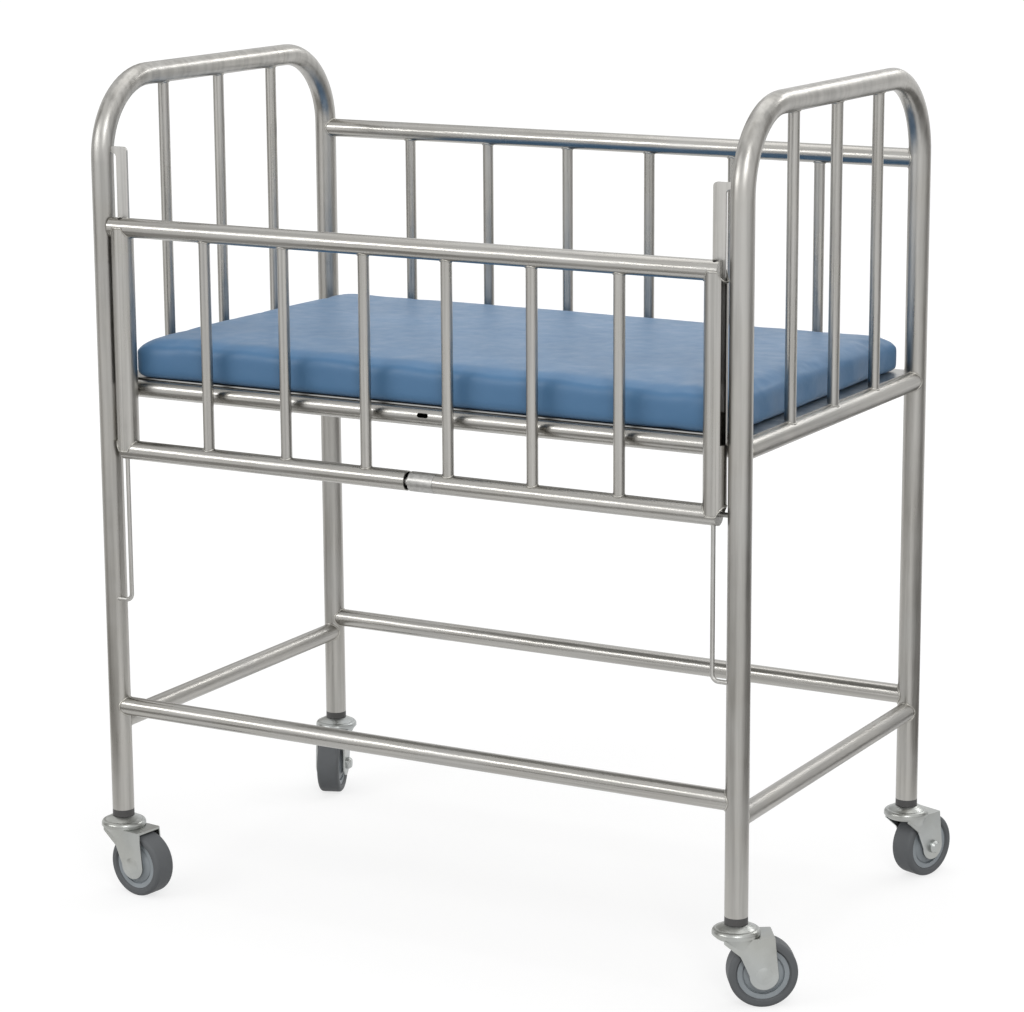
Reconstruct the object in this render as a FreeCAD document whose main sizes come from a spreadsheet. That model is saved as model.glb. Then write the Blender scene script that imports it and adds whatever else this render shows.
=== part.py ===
"""Infant cot in stainless tube: two end hoops, a fixed back, a drop side, a foam mattress and four castors.

X runs along the cot, Y from its front (the drop side) to its back, Z up. The origin is on the floor, midway
between the four posts. All sizes are millimetres and live in the spreadsheet called Sizes.
"""

import FreeCAD, Part
import math
import os
import re
import Sketcher

SIZES = {
    # frame
    "frame_length": 794,  # post axis to post axis along the cot
    "frame_width": 468,  # post axis to post axis across the cot
    "post_diameter": 25.4,  # tube of the end hoops, whose legs are the posts
    "post_wall": 1.5,
    "hoop_height": 950,  # axis of the hoops' top bars
    "hoop_bend": 90,  # centre-line radius of the hoops' corners
    "rail_diameter": 22,  # every rail, crossbar and stretcher
    "rail_wall": 1.2,
    "bar_diameter": 12.7,  # the thin upright bars
    "bar_wall": 1,
    "end_bar_gap": 122,  # post axis to the first bar of an end
    "end_bar_count": 3,
    "back_bar_gap": 123,  # post axis to the first bar of the back
    "back_bar_count": 6,
    "side_bar_gap": 111,  # end tube axis to the first bar of the drop side
    "side_bar_count": 6,
    "back_rail_drop": 96,  # hoops' top bars down to the fixed back's top rail
    "deck_height": 599.5,  # axis of the rails and crossbars that carry the deck
    "deck_rail_gap": 0.5,  # front deck rail behind the drop side's end tubes
    "stretcher_height": 225,  # axis of the two long stretchers
    "end_stretcher_height": 206.5,  # axis of the two end stretchers
    "drain_length": 14,  # slot in the front deck rail
    "drain_width": 5,
    "drain_place": 12,  # the slot's centre along X
    # deck
    "deck_thickness": 1.5,
    "deck_back_gap": 8,  # deck edge to the axis of the back deck rail
    "deck_front_lip": 4,  # deck edge in front of the front deck rail's axis
    "stiffener_width": 30,
    "stiffener_depth": 5,
    "stiffener_count": 2,
    # drop side, its guides and its latch
    "side_offset": 4,  # drop side, in front of the posts' plane
    "side_lowered": 68,  # as drawn, below the level where its top rail meets the back's
    "side_drop": 158,  # travel down from the height drawn
    "side_tube_diameter": 25.4,  # the slotted tubes that run on the guides
    "side_tube_wall": 1.5,
    "side_tube_gap": 1.6,  # between a side tube and its post
    "rail_end_gap": 9.3,  # between a post and a closed rail end
    "long_end_gap": 0.6,  # the same at the top rail's left end, which reaches past its guide
    "slot_angle": 50,  # opening of the side tubes' slot
    "slot_turn": 17,  # slot's middle, turned to the front
    "slot_foot": 75,  # slot's lower end above the bottom rail's axis
    "strip_width": 14.4,  # flat steel upper guide
    "strip_thickness": 3,
    "strip_offset": 3.6,  # strip's face behind the side tube's axis
    "strip_gap": 0.8,  # strip's corner to the inside of the side tube
    "strip_foot_gap": 12,  # strip's foot above the lowered top rail's axis
    "tab_gap": 4,  # between the raised top rail and the strip's tab
    "tab_height": 7,  # strip's top, turned across to the post
    "tab_corner": 5,
    "guide_rod_diameter": 5,
    "guide_rod_offset": 3,  # rod in front of the side tube's axis
    "guide_rod_overlap": 28,  # rod's top above the strip's foot
    "guide_lug_height": 12,  # block that joins the rod to the strip
    "guide_rod_bend": 7.5,
    "guide_foot_gap": 18.5,  # rod's bent end below the lowered bottom rail
    "guide_clearance": 0.4,  # around the strip and rod in the drop side's rails
    "sleeve_start": 6,  # the latch sleeve's left end along X
    "sleeve_length": 31,
    "sleeve_gap": 5,  # open gap at the sleeve's left
    "core_diameter": 9,  # pin that joins the two halves of the bottom rail
    "core_plug_length": 10,
    "core_plug_inset": 20,  # plugs' near faces inside the rail halves
    "latch_rod_diameter": 5.5,
    "latch_travel": 4.5,  # of the sleeve, and of the latch rod in it
    "latch_wall": 3,  # end wall of the sleeve's chamber
    "latch_back_wall": 6,  # solid end behind the chamber
    "latch_rim": 1.7,  # sleeve wall behind the latch rod's collar
    "latch_web": 1.2,  # sleeve wall between the collar and the core pin
    "latch_collar_step": 0.8,  # stops the rod at the end wall
    "latch_collar_length": 2,
    "latch_bush_length": 5,
    # fits
    "running_clearance": 0.05,  # radial, where a shaft turns or slides in a bore
    "seat_clearance": 0.05,  # radial, where a fixed plug sits in a tube
    "part_gap": 0.3,  # between pieces that move past each other
    # mattress
    "mattress_left_gap": 32,  # post axis to the mattress
    "mattress_right_gap": 13.5,
    "mattress_back_gap": 1,  # behind the mattress, to the back's top rail
    "mattress_thickness": 43,
    "mattress_corner": 26,
    "mattress_edge": 8,
    # castors
    "wheel_diameter": 75,
    "tyre_width": 28,
    "tyre_depth": 9.5,  # tread down to the rim
    "tyre_shoulder": 4.5,
    "tyre_bevel": 2,  # side faces slope in by this much at the rim
    "rim_ledge": 0.5,  # tyre proud of the rim at each side
    "ring_width": 5.2,  # outer ring of the hub
    "ring_step": 1.5,  # ring proud of the middle disc at each side
    "groove_width": 1.6,  # between disc and ring
    "groove_depth": 3,
    "hub_diameter": 18,
    "hub_side_gap": 1,  # hub's boss to the fork's leg
    "axle_diameter": 8,
    "axle_head_diameter": 15,
    "axle_head_height": 6,
    "axle_cap_diameter": 19,  # low cap at the axle's other end
    "axle_cap_height": 1.5,
    "trail": 28,  # axle behind the swivel axis
    "swivel_front_left": -7.5,  # direction that each castor trails in, degrees from X
    "swivel_front_right": 33,
    "swivel_back_left": -69,
    "swivel_back_right": 70,
    "cap_diameter": 52,
    "cap_height": 12,
    "cap_rim_height": 3,
    "cap_round": 4.5,
    "cap_crown_diameter": 26,
    "cap_dome_radius": 34,
    "cap_seam": 1,  # step under the cap's rim
    "collar_height": 8,  # plastic between the cap and the post
    "collar_plug_length": 32,
    "stem_diameter": 11,
    "stem_head_step": 2,
    "stem_head_height": 3,
    "stem_reach": 22,  # stem above the posts' lower ends
    "tyre_side_gap": 2.5,  # tyre to the fork's leg
    "wheel_top_gap": 1.5,  # tread to the fork's plate
    "fork_plate": 2.5,
    "fork_front": 15,  # fork plate in front of the swivel axis
    "fork_back": 39.5,  # fork plate behind the swivel axis
    "fork_boss_diameter": 32,
    "fork_shin_back": 2,  # the legs' front edge bends here, behind the swivel axis
    "fork_shin_drop": 19,  # and this far below the plate's top
    "fork_brow_height": 5,  # depth of the legs at their front end
    "fork_edge": 1.5,
    "neck_step": 1.5,  # neck inside the cap's rim
    "neck_waist_step": 1,  # neck proud of the legs at each side
    "neck_waist_drop": 9,
    "neck_waist_back": 3,
    "neck_foot_drop": 30,
    "neck_foot_back": 15,
}

DERIVED = {
    "post_x": "frame_length / 2",
    "post_y": "frame_width / 2",
    "back_rail_height": "hoop_height - back_rail_drop",
    "rail_bore": "rail_diameter - 2 * rail_wall",
    "end_bar_pitch": "(frame_width - 2 * end_bar_gap) / (end_bar_count - 1)",
    "back_bar_pitch": "(frame_length - 2 * back_bar_gap) / (back_bar_count - 1)",
    "side_bar_pitch": "2 * (side_tube_x - side_bar_gap) / (side_bar_count - 1)",
    "deck_rail_y": "side_y + (side_tube_diameter + rail_diameter) / 2 + deck_rail_gap",
    "deck_underside": "deck_height + rail_diameter / 2",
    "deck_top": "deck_underside + deck_thickness",
    "stiffener_pitch": "frame_length / (stiffener_count + 1)",
    "side_y": "-post_y - side_offset",
    "side_top_height": "back_rail_height - side_lowered",
    "side_bottom_height": "deck_height - side_lowered",
    "side_height": "side_top_height - side_bottom_height",
    "guide_offset": "(post_diameter + side_tube_diameter) / 2 + side_tube_gap",
    "side_tube_x": "post_x - guide_offset",
    "side_end_x": "post_x - post_diameter / 2 - rail_end_gap",
    "long_end_x": "post_x - post_diameter / 2 - long_end_gap",
    "strip_front": "side_y + strip_offset",
    "strip_radius": "side_tube_diameter / 2 - side_tube_wall - strip_gap",
    "strip_outer": "guide_offset - sqrt(strip_radius ^ 2 - (strip_offset + strip_thickness) ^ 2)",
    "strip_inner": "strip_outer + strip_width",
    "strip_foot": "side_top_height - side_drop + strip_foot_gap",
    "strip_top": "back_rail_height + rail_diameter / 2 + tab_gap + tab_height",
    "guide_rod_y": "side_y - guide_rod_offset",
    "guide_rod_top": "strip_foot + guide_rod_overlap",
    "guide_rod_foot": "side_bottom_height - side_drop - guide_foot_gap",
    "sleeve_end": "sleeve_start + sleeve_length",
    "left_rail_end": "sleeve_start - sleeve_gap",
    "right_rail_start": "sleeve_end + part_gap",
    "latch_collar_diameter": "latch_rod_diameter + 2 * latch_collar_step",
    "latch_y": "side_y + (rail_diameter - latch_collar_diameter) / 2 - latch_rim",
    "latch_tip": "post_x - post_diameter / 2 - part_gap",
    "latch_chamber_end": "sleeve_end - latch_wall",
    "latch_chamber_length": "sleeve_length - latch_wall - latch_back_wall",
    "latch_collar_end": "latch_chamber_end - 2 * running_clearance - latch_travel",
    "core_y": "latch_y - (latch_collar_diameter + core_diameter) / 2 - latch_web",
    "core_start": "left_rail_end - core_plug_inset - core_plug_length",
    "core_end": "right_rail_start + core_plug_inset + core_plug_length",
    "mattress_left": "-post_x + mattress_left_gap",
    "mattress_right": "post_x - mattress_right_gap",
    "mattress_front": "side_y + side_tube_diameter / 2 + part_gap",
    "mattress_back": "post_y - rail_diameter / 2 - mattress_back_gap",
    "mattress_foot": "deck_top + part_gap",
    "wheel_radius": "wheel_diameter / 2",
    "rim_diameter": "wheel_diameter - 2 * tyre_depth",
    "tyre_side_width": "tyre_width - 2 * tyre_bevel",
    "rim_width": "tyre_side_width - 2 * rim_ledge",
    "dish_width": "rim_width - 2 * ring_step",
    "groove_outside": "rim_diameter - 2 * ring_width",
    "dish_diameter": "groove_outside - 2 * groove_width",
    "fork_gap": "tyre_width + 2 * tyre_side_gap",
    "fork_width": "fork_gap + 2 * fork_plate",
    "hub_width": "fork_gap - 2 * hub_side_gap",
    "fork_under": "wheel_diameter + wheel_top_gap",
    "fork_top": "fork_under + fork_plate",
    "castor_height": "fork_top + cap_height",
    "collar_foot": "castor_height + part_gap",
    "post_foot": "collar_foot + collar_height",
    "stem_head_top": "fork_under - part_gap",
    "stem_head_diameter": "stem_diameter + 2 * stem_head_step",
}

CORNERS = {
    "front_left": (-1, -1),
    "front_right": (1, -1),
    "back_left": (-1, 1),
    "back_right": (1, 1),
}
SIDES = {"left": -1, "right": 1}
HALF_TURN = 180
NEAR = 0.001

doc = FreeCAD.newDocument("infant_cot")
sheet = doc.addObject("Spreadsheet::Sheet", "Sizes")
pieces = []


def fill_sheet():
    """One row per driving size: its name, which is also the alias, and its value."""
    for row, (name, number) in enumerate(SIZES.items(), start=1):
        sheet.set(f"A{row}", name)
        sheet.set(f"B{row}", str(number))
        sheet.setAlias(f"B{row}", name)
    doc.recompute()


def formula(text):
    """The expression for text, in which sizes and derived sizes are plain words."""

    def expand(match):
        word = match.group(0)
        if word in DERIVED:
            return "(" + formula(DERIVED[word]) + ")"
        return "Sizes." + word if word in SIZES else word

    return re.sub(r"[a-z_]+", expand, text)


def value(text):
    """The present value of an expression written in plain words."""
    result = sheet.evalExpression(formula(text).replace("Sizes.", ""))
    return float(getattr(result, "Value", result))


def place(thing, base):
    """Binds a placement's base to three expressions."""
    for axis, text in zip("xyz", base):
        thing.setExpression("Placement.Base." + axis, formula(text))


def piece(label, thing):
    """Names a finished sub-part and keeps it for export."""
    thing.Label = label
    pieces.append(thing)
    return thing


# ---- primitives and booleans

TURN = {
    "x": FreeCAD.Rotation(FreeCAD.Vector(0, 1, 0), 90),
    "y": FreeCAD.Rotation(FreeCAD.Vector(1, 0, 0), -90),
    "z": FreeCAD.Rotation(),
}


def cylinder(name, diameter, length, foot, along="z"):
    """A solid cylinder from foot, in the direction of one axis."""
    thing = doc.addObject("Part::Cylinder", name)
    thing.setExpression("Radius", formula(f"({diameter}) / 2"))
    thing.setExpression("Height", formula(length))
    thing.Placement = FreeCAD.Placement(FreeCAD.Vector(), TURN[along])
    place(thing, foot)
    return thing


def box(name, size, corner):
    """A box from its lowest corner."""
    thing = doc.addObject("Part::Box", name)
    for side, text in zip(("Length", "Width", "Height"), size):
        thing.setExpression(side, formula(text))
    place(thing, corner)
    return thing


def cut(name, base, *tools):
    """Base less each tool in turn."""
    for tool in tools:
        result = doc.addObject("Part::Cut", name)
        result.Base = base
        result.Tool = tool
        base = result
    return base


def group(name, things):
    """Separate solids as one compound."""
    result = doc.addObject("Part::Compound", name)
    result.Links = things
    return result


def fuse(name, things):
    """Solids that make one piece."""
    result = doc.addObject("Part::MultiFuse", name)
    result.Shapes = things
    result.Refine = True
    return result


def fillet_edges(name, base, radius, chosen):
    """Rounds the edges of base that chosen() accepts."""
    doc.recompute()
    result = doc.addObject("Part::Fillet", name)
    result.Base = base
    size = value(radius)
    edges = [(i, size, size) for i, edge in enumerate(base.Shape.Edges, start=1) if chosen(edge)]
    if not edges:
        raise ValueError(f"{name} found no edge to round")
    result.Edges = edges
    return result


def runs_along(edge, direction):
    """True for a straight edge parallel to direction."""
    if not isinstance(edge.Curve, Part.Line):
        return False
    return abs(abs(edge.Curve.Direction.dot(FreeCAD.Vector(*direction))) - 1) < 1e-6


def tube(name, diameter, bore, length, foot, along, *tools):
    """A round tube, open at both ends, less the pieces that it butts on or that pass through it."""
    outer = cylinder(name + "_outer", diameter, length, foot, along)
    inner = cylinder(name + "_bore", bore, length, foot, along)
    return cut(name + "_tube", outer, inner, *tools)


def rail(label, length, foot, along, *tools):
    """A rail-sized tube as a finished piece."""
    return piece(label, tube(label, "rail_diameter", "rail_bore", length, foot, along, *tools))


# ---- sketches and bodies


def body(name):
    return doc.addObject("PartDesign::Body", name)


def sketch_on(owner, name, plane, height=None):
    """A sketch on one of the body's own origin planes, lifted by height where it is given."""
    sketch = owner.newObject("Sketcher::SketchObject", name)
    origin_plane = next(item for item in owner.Origin.OriginFeatures if item.Role == plane)
    sketch.AttachmentSupport = [(origin_plane, "")]
    sketch.MapMode = "FlatFace"
    if height is not None:
        sketch.setExpression("AttachmentOffset.Base.z", formula(height))
    return sketch


def drive(sketch, constraint, text):
    """Adds a constraint whose value follows an expression."""
    index = sketch.addConstraint(constraint)
    sketch.setExpression(f"Constraints[{index}]", formula(text))


def pin_point(sketch, edge, end, across, up):
    """Holds one end of an edge at two coordinates from the sketch's origin."""
    drive(sketch, Sketcher.Constraint("DistanceX", -1, 1, edge, end, value(across)), across)
    drive(sketch, Sketcher.Constraint("DistanceY", -1, 1, edge, end, value(up)), up)


def outline(sketch, corners, arcs=None):
    """A closed outline through corners; arcs maps an edge's number to the radius it bulges out with."""
    arcs = arcs or {}
    points = [FreeCAD.Vector(value(across), value(up), 0) for across, up in corners]
    starts = []
    for i, start in enumerate(points):
        end = points[(i + 1) % len(points)]
        if i not in arcs:
            starts.append((sketch.addGeometry(Part.LineSegment(start, end)), 1, 2))
            continue
        radius = value(arcs[i])
        chord = end - start
        middle = (start + end) * 0.5
        to_centre = FreeCAD.Vector(-chord.y, chord.x, 0).normalize()
        centre = middle + to_centre * math.sqrt(radius**2 - (chord.Length / 2) ** 2)
        circle = Part.Circle(centre, FreeCAD.Vector(0, 0, 1), radius)
        first = math.atan2(start.y - centre.y, start.x - centre.x)
        last = math.atan2(end.y - centre.y, end.x - centre.x)
        edge = sketch.addGeometry(Part.ArcOfCircle(circle, first, last))
        starts.append((edge, 1, 2))
        drive(sketch, Sketcher.Constraint("Radius", edge, radius), arcs[i])
    for i, (edge, _, end) in enumerate(starts):
        following, start, _ = starts[(i + 1) % len(starts)]
        sketch.addConstraint(Sketcher.Constraint("Coincident", edge, end, following, start))
    for (edge, start, _), (across, up) in zip(starts, corners):
        pin_point(sketch, edge, start, across, up)


def ring(sketch, diameter, across="0", up="0"):
    """A circle of a bound diameter, centred at two coordinates."""
    centre = FreeCAD.Vector(value(across), value(up), 0)
    circle = Part.Circle(centre, FreeCAD.Vector(0, 0, 1), value(diameter) / 2)
    edge = sketch.addGeometry(circle)
    drive(sketch, Sketcher.Constraint("Diameter", edge, value(diameter)), diameter)
    pin_point(sketch, edge, 3, across, up)


def pad(owner, name, sketch, length, midplane=False):
    feature = owner.newObject("PartDesign::Pad", name)
    feature.Profile = sketch
    feature.setExpression("Length", formula(length))
    feature.Midplane = midplane
    return feature


def pocket_through(owner, name, sketch):
    feature = owner.newObject("PartDesign::Pocket", name)
    feature.Profile = sketch
    feature.Type = "ThroughAll"
    feature.Midplane = True
    return feature


def turned(name, plane, corners, arcs=None):
    """A body turned about its sketch's vertical axis."""
    owner = body(name)
    sketch = sketch_on(owner, name + "_outline", plane)
    outline(sketch, corners, arcs)
    feature = owner.newObject("PartDesign::Revolution", name + "_turning")
    feature.Profile = sketch
    feature.ReferenceAxis = (sketch, ["V_Axis"])
    feature.Angle = 360
    return owner


def bent_path(sketch, stops, bend):
    """Level and upright lines through stops, joined by tangent arcs of one radius."""
    points = [FreeCAD.Vector(value(across), value(up), 0) for across, up in stops]
    radius = value(bend)
    lines = []
    last = len(points) - 2
    for i, (start, end) in enumerate(zip(points, points[1:])):
        step = (end - start).normalize() * radius
        first = start if i == 0 else start + step
        final = end if i == last else end - step
        line = sketch.addGeometry(Part.LineSegment(first, final))
        upright = abs(step.x) < abs(step.y)
        sketch.addConstraint(Sketcher.Constraint("Vertical" if upright else "Horizontal", line))
        across, up = stops[i]
        if upright:
            drive(sketch, Sketcher.Constraint("DistanceX", -1, 1, line, 1, value(across)), across)
        else:
            drive(sketch, Sketcher.Constraint("DistanceY", -1, 1, line, 1, value(up)), up)
        lines.append((line, first, final, upright))
    for i, end in ((0, 1), (last, 2)):
        line, _, _, upright = lines[i]
        across, up = stops[0] if end == 1 else stops[-1]
        if upright:
            drive(sketch, Sketcher.Constraint("DistanceY", -1, 1, line, end, value(up)), up)
        else:
            drive(sketch, Sketcher.Constraint("DistanceX", -1, 1, line, end, value(across)), across)
    for (before, _, arrive, _), (after, leave, _, _), corner in zip(lines, lines[1:], points[1:]):
        centre = arrive + leave - corner
        angles = [math.atan2(p.y - centre.y, p.x - centre.x) for p in (arrive, leave)]
        left_turn = (corner - arrive).cross(leave - corner).z > 0
        first, final = angles if left_turn else angles[::-1]
        circle = Part.Circle(centre, FreeCAD.Vector(0, 0, 1), radius)
        arc = sketch.addGeometry(Part.ArcOfCircle(circle, first, final))
        near, far = (1, 2) if left_turn else (2, 1)
        sketch.addConstraint(Sketcher.Constraint("Tangent", before, 2, arc, near))
        sketch.addConstraint(Sketcher.Constraint("Tangent", after, 1, arc, far))
        drive(sketch, Sketcher.Constraint("Radius", arc, radius), bend)


def bent_tube(name, plane, stops, bend, diameter, bore=None):
    """A tube or rod bent along stops, whose first stop is the foot of an upright leg."""
    owner = body(name)
    path = sketch_on(owner, name + "_path", plane)
    bent_path(path, stops, bend)
    across, up = stops[0]
    section = sketch_on(owner, name + "_section", "XY_Plane", up)
    centre = ("0", across) if plane == "YZ_Plane" else (across, "0")
    ring(section, diameter, *centre)
    if bore:
        ring(section, bore, *centre)
    doc.recompute()
    pipe = owner.newObject("PartDesign::AdditivePipe", name + "_pipe")
    pipe.Profile = section
    pipe.Spine = (path, [f"Edge{i}" for i in range(1, len(path.Shape.Edges) + 1)])
    return owner


# ---- the frame


def frame_cutters():
    """Solid bars in the place of posts, crossbars and rails, which cope the tubes that butt on them."""
    solids = {}
    for corner, (sx, sy) in CORNERS.items():
        foot = (f"{sx} * post_x", f"{sy} * post_y", "0")
        solids["post_" + corner] = cylinder("post_" + corner, "post_diameter", "hoop_height", foot)
    for side, s in SIDES.items():
        foot = (f"{s} * post_x", "-post_y", "deck_height")
        solids["crossbar_" + side] = cylinder("bar_" + side, "rail_diameter", "frame_width", foot, "y")
        foot = (f"{s} * post_x", "-post_y", "hoop_height")
        solids["crown_" + side] = cylinder("crown_" + side, "post_diameter", "frame_width", foot, "y")
    for name, y, height in (
        ("back_top", "post_y", "back_rail_height"),
        ("back_deck", "post_y", "deck_height"),
        ("front_deck", "deck_rail_y", "deck_height"),
        ("side_top", "side_y", "side_top_height"),
        ("side_bottom", "side_y", "side_bottom_height"),
    ):
        foot = ("-post_x", y, height)
        solids[name] = cylinder("solid_" + name, "rail_diameter", "frame_length", foot, "x")
    return solids


def hoop_tube(name, s, *bore):
    stops = [
        ("-post_y", "post_foot"),
        ("-post_y", "hoop_height"),
        ("post_y", "hoop_height"),
        ("post_y", "post_foot"),
    ]
    hoop = bent_tube(name, "YZ_Plane", stops, "hoop_bend", "post_diameter", *bore)
    place(hoop, (f"{s} * post_x", "0", "0"))
    return hoop


def hoops():
    """Two inverted U tubes; the front right post has the holes that the latch rod enters."""
    for side, s in SIDES.items():
        hoop = hoop_tube(side + "_hoop", s, "post_diameter - 2 * post_wall")
        if side == "right":
            holes = []
            for stop in ("side_lowered", "0", "-side_drop"):
                foot = ("post_x - post_diameter", "latch_y", f"side_bottom_height + {stop}")
                bore = "latch_rod_diameter + 2 * guide_clearance"
                holes.append(cylinder("latch_hole", bore, "post_diameter", foot, "x"))
            hoop = cut("right_hoop_drilled", hoop, group("latch_holes", holes))
        piece(side + "_end_hoop", hoop)


def frame_rails(solids):
    """Crossbars, rails and stretchers, each coped to what it is welded to."""
    posts = {corner: solids["post_" + corner] for corner in CORNERS}
    crossbars = [solids["crossbar_left"], solids["crossbar_right"]]
    front = [posts["front_left"], posts["front_right"]]
    back = [posts["back_left"], posts["back_right"]]
    for side, s in SIDES.items():
        ends = [posts["front_" + side], posts["back_" + side]]
        x = f"{s} * post_x"
        rail(side + "_crossbar", "frame_width", (x, "-post_y", "deck_height"), "y", *ends)
        rail(side + "_stretcher", "frame_width", (x, "-post_y", "end_stretcher_height"), "y", *ends)
    rail("front_stretcher", "frame_length", ("-post_x", "-post_y", "stretcher_height"), "x", *front)
    rail("back_stretcher", "frame_length", ("-post_x", "post_y", "stretcher_height"), "x", *back)
    rail("back_top_rail", "frame_length", ("-post_x", "post_y", "back_rail_height"), "x", *back)
    foot = ("-post_x", "post_y", "deck_height")
    rail("back_deck_rail", "frame_length", foot, "x", *back, *crossbars)
    foot = ("-post_x", "deck_rail_y", "deck_height")
    rail("front_deck_rail", "frame_length", foot, "x", *front, *crossbars, drain_slot())


def drain_slot():
    """Round-ended slot through the front wall of the front deck rail, a little above its axis."""
    depth = "deck_rail_y - rail_diameter"
    height = "deck_height + drain_width / 2"
    straight = "drain_length - drain_width"
    ends = []
    for half in ("-", "+"):
        foot = (f"drain_place {half} ({straight}) / 2", depth, height)
        ends.append(cylinder("drain_end", "drain_width", "rail_diameter", foot, "y"))
    corner = (f"drain_place - ({straight}) / 2", depth, "deck_height")
    return fuse("drain", [*ends, box("drain_middle", (straight, "rail_diameter", "drain_width"), corner)])


def upright_bars(label, count, spot, foot, top, *tools):
    """Evenly spaced thin tubes between two rails, coped to both."""
    bars = []
    for i in range(count):
        bar = tube(
            f"{label}_{i}",
            "bar_diameter",
            "bar_diameter - 2 * bar_wall",
            f"{top} - {foot}",
            (*spot(i - (count - 1) / 2), foot),
            "z",
        )
        bars.append(bar)
    return piece(label, cut(label + "_coped", group(label + "_set", bars), *tools))


def frame_bars(solids):
    for side, s in SIDES.items():
        upright_bars(
            side + "_end_bars",
            int(value("end_bar_count")),
            lambda k, s=s: (f"{s} * post_x", f"{k} * end_bar_pitch"),
            "deck_height",
            "hoop_height",
            solids["crossbar_" + side],
            solids["crown_" + side],
        )
    upright_bars(
        "back_bars",
        int(value("back_bar_count")),
        lambda k: (f"{k} * back_bar_pitch", "post_y"),
        "deck_height",
        "back_rail_height",
        solids["back_deck"],
        solids["back_top"],
    )


def deck(solids):
    """Thin sheet on the rails' crests, notched around posts and end bars, and the flats that stiffen it."""
    size = ("frame_length", "post_y - deck_back_gap - deck_rail_y + deck_front_lip", "deck_thickness")
    corner = ("-post_x", "deck_rail_y - deck_front_lip", "deck_underside")
    sheet_blank = box("deck_blank", size, corner)
    notches = [solids["post_" + corner_name] for corner_name in CORNERS]
    for side, s in SIDES.items():
        for k in range(int(value("end_bar_count"))):
            foot = (f"{s} * post_x", f"{k} * end_bar_pitch - post_y + end_bar_gap", "deck_height")
            notches.append(cylinder(f"{side}_bar_notch", "bar_diameter", "rail_diameter", foot))
    piece("deck_sheet", cut("deck_notched", sheet_blank, group("deck_notches", notches)))
    count = int(value("stiffener_count"))
    flats = []
    for i in range(count):
        middle = f"{i - (count - 1) / 2} * stiffener_pitch"
        size = ("stiffener_width", "post_y - deck_rail_y - rail_diameter / 2", "stiffener_depth")
        front = "deck_rail_y + rail_diameter / 4"
        corner = (f"{middle} - stiffener_width / 2", front, "deck_underside - stiffener_depth")
        flats.append(box(f"stiffener_{i}", size, corner))
    rails = [solids["front_deck"], solids["back_deck"]]
    piece("deck_stiffeners", cut("stiffeners_coped", group("stiffener_set", flats), *rails))


# ---- the drop side, its guides and its latch


def guide_passage(side, s, name):
    """What the guide strip, the guide rod and the lug between them need to pass through the top rail."""
    near = "strip_inner" if s > 0 else "-strip_outer"
    foot = "side_top_height - rail_diameter"
    slot = box(
        f"{name}_slot",
        ("strip_width + 2 * guide_clearance", "strip_thickness + 2 * guide_clearance", "2 * rail_diameter"),
        (f"{s} * post_x - {near} - guide_clearance", "strip_front - guide_clearance", foot),
    )
    width = "guide_rod_diameter + 2 * guide_clearance"
    neck = box(
        f"{name}_neck",
        (width, "strip_front - guide_rod_y", "2 * rail_diameter"),
        (f"{s} * side_tube_x - ({width}) / 2", "guide_rod_y", foot),
    )
    return [slot, neck, rod_hole(s, name, "side_top_height")]


def rod_hole(s, name, height):
    foot = (f"{s} * side_tube_x", "guide_rod_y", f"{height} - rail_diameter")
    return cylinder(f"{name}_rod_hole", "guide_rod_diameter + 2 * guide_clearance", "2 * rail_diameter", foot)


def guides():
    """Per front post, a flat strip turned across to the post and, from its foot, a rod bent into the post."""
    for side, s in SIDES.items():
        hoop = hoop_tube(side + "_hoop_solid", s)
        left_edge = "post_x - strip_inner" if s > 0 else "-post_x + strip_outer"
        strip = box(
            f"{side}_strip",
            ("strip_width", "strip_thickness", "strip_top - strip_foot"),
            (left_edge, "strip_front", "strip_foot"),
        )
        left_edge = "post_x - strip_inner" if s > 0 else "-post_x"
        tab = box(
            f"{side}_tab",
            ("strip_inner", "strip_thickness", "tab_height"),
            (left_edge, "strip_front", "strip_top - tab_height"),
        )
        blank = fuse(f"{side}_strip_blank", [strip, tab])
        bend_x = value(f"{s} * (post_x - strip_outer)")
        tip_x = value(f"{s} * (post_x - strip_inner)")
        bend_z, tip_z = value("strip_top - tab_height"), value("strip_top")

        def corner(edge, bend_x=bend_x, tip_x=tip_x, bend_z=bend_z, tip_z=tip_z):
            if not runs_along(edge, (0, 1, 0)):
                return False
            at = edge.CenterOfMass
            inner = abs(at.x - bend_x) < NEAR and abs(at.z - bend_z) < NEAR
            outer = abs(at.x - tip_x) < NEAR and abs(at.z - tip_z) < NEAR
            return inner or outer

        rounded = fillet_edges(f"{side}_strip_rounded", blank, "tab_corner", corner)
        piece(side + "_guide_strip", cut(f"{side}_strip_coped", rounded, hoop))
        stops = [
            (f"{s} * side_tube_x", "guide_rod_top"),
            (f"{s} * side_tube_x", "guide_rod_foot"),
            (f"{s} * post_x", "guide_rod_foot"),
        ]
        rod = bent_tube(f"{side}_rod", "XZ_Plane", stops, "guide_rod_bend", "guide_rod_diameter")
        place(rod, ("0", "guide_rod_y", "0"))
        left_edge = f"{s} * side_tube_x - guide_rod_diameter / 2"
        lug = box(
            f"{side}_lug",
            ("guide_rod_diameter", "strip_front - guide_rod_y", "guide_lug_height"),
            (left_edge, "guide_rod_y", "guide_rod_top - guide_lug_height"),
        )
        joined = fuse(f"{side}_rod_and_lug", [rod, lug])
        piece(side + "_guide_rod", cut(f"{side}_rod_coped", joined, hoop))


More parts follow.
